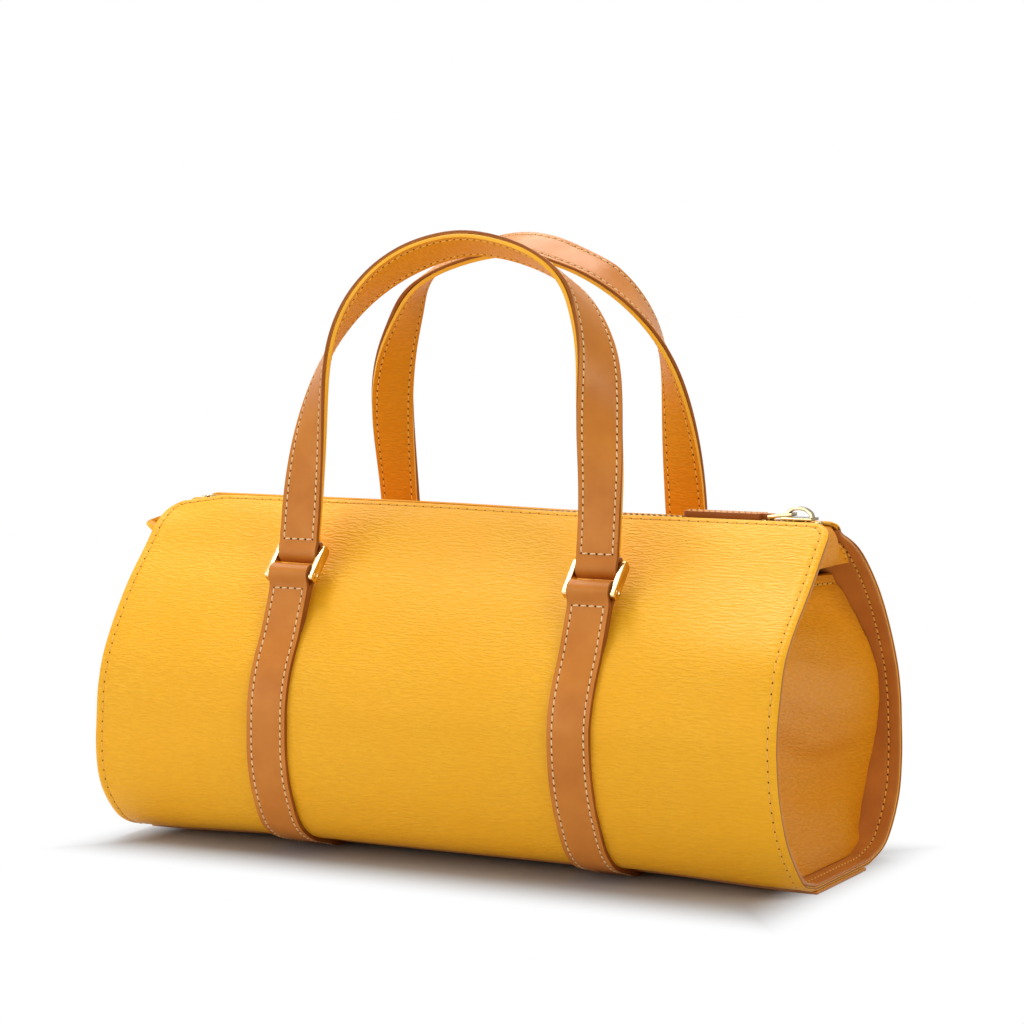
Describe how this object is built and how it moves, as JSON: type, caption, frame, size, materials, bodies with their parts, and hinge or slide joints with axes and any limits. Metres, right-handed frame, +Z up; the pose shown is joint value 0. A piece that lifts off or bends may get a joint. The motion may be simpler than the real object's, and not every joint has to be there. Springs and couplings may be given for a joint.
{
  "type": "handbag",
  "caption": "Small barrel handbag with curved leather panels, a zip along the top, set-in end gussets and two twisted strap handles that swing on brass links.",
  "frame": {"origin": "On the floor under the middle of the bag.", "axes": "+X along the bag to the end where the closed zip slider sits, -Y to the front, +Z up."},
  "size_m": [0.31, 0.138, 0.2578],
  "materials": {
    "yellow_leather": "fine horizontal ridge grain, semi gloss",
    "tan_leather": "smooth, lightly polished, cream stitching",
    "link_brass": "polished",
    "zip_metal": "polished pale gold",
    "zip_tape": "woven tape",
    "lining_cloth": "matte brushed cloth",
    "board": "matte"
  },
  "bodies": {
    "bag": {"front_panel": "yellow_leather", "back_panel": "yellow_leather", "base_patch": "yellow_leather", "body_lining": "lining_cloth", "base_board": "board", "left_end_facing": "tan_leather", "right_end_facing": "tan_leather", "left_gusset": "yellow_leather", "right_gusset": "yellow_leather", "left_end_hood": "yellow_leather", "right_end_hood": "yellow_leather", "front_zip_tape": "zip_tape", "back_zip_tape": "zip_tape", "front_zip_teeth": "zip_metal", "back_zip_teeth": "zip_metal", "zip_end_stops": "zip_metal", "left_body_strap": "tan_leather", "right_body_strap": "tan_leather"},
    "front_left_link": {"front_left_link": "link_brass", "front_left_link_pin": "link_brass"},
    "front_right_link": {"front_right_link": "link_brass", "front_right_link_pin": "link_brass"},
    "back_left_link": {"back_left_link": "link_brass", "back_left_link_pin": "link_brass"},
    "back_right_link": {"back_right_link": "link_brass", "back_right_link_pin": "link_brass"},
    "front_handle": {"front_handle": "tan_leather", "front_handle_lining": "yellow_leather"},
    "back_handle": {"back_handle": "tan_leather", "back_handle_lining": "yellow_leather"},
    "zip_slider": {"zip_slider": "zip_metal"},
    "zip_pull": {"zip_pull_link": "zip_metal", "zip_pull_tab": "tan_leather"}
  },
  "joints": [
    {"name": "front_link_swing", "type": "hinge", "parent": "bag", "child": "front_left_link", "pos_m": [-0.069, -0.04826, 0.11659], "axis": [1, 0, 0], "range_deg": [0, 75]},
    {"name": "front_right_link_swing", "type": "hinge", "parent": "bag", "child": "front_right_link", "pos_m": [0.069, -0.04826, 0.11659], "axis": [1, 0, 0], "range_deg": [0, 75]},
    {"name": "front_handle_swing", "type": "hinge", "parent": "front_left_link", "child": "front_handle", "pos_m": [-0.069, -0.04083, 0.1247], "axis": [1, 0, 0], "range_deg": [0, 75]},
    {"name": "back_link_swing", "type": "hinge", "parent": "bag", "child": "back_left_link", "pos_m": [-0.069, 0.04826, 0.11659], "axis": [-1, 0, 0], "range_deg": [0, 75]},
    {"name": "back_right_link_swing", "type": "hinge", "parent": "bag", "child": "back_right_link", "pos_m": [0.069, 0.04826, 0.11659], "axis": [-1, 0, 0], "range_deg": [0, 75]},
    {"name": "back_handle_swing", "type": "hinge", "parent": "back_left_link", "child": "back_handle", "pos_m": [-0.069, 0.04083, 0.1247], "axis": [-1, 0, 0], "range_deg": [0, 75]},
    {"name": "zip_slide", "type": "slide", "parent": "bag", "child": "zip_slider", "axis": [1, 0, 0], "range_m": [-0.273, 0]},
    {"name": "zip_pull_swing", "type": "hinge", "parent": "zip_slider", "child": "zip_pull", "pos_m": [0.1335, 0, 0.14564], "axis": [0, 1, 0], "range_deg": [0, 155]}
  ],
  "couplings": [
    {"joint": "front_right_link_swing", "follows": "front_link_swing", "ratio": 1},
    {"joint": "back_right_link_swing", "follows": "back_link_swing", "ratio": 1}
  ]
}
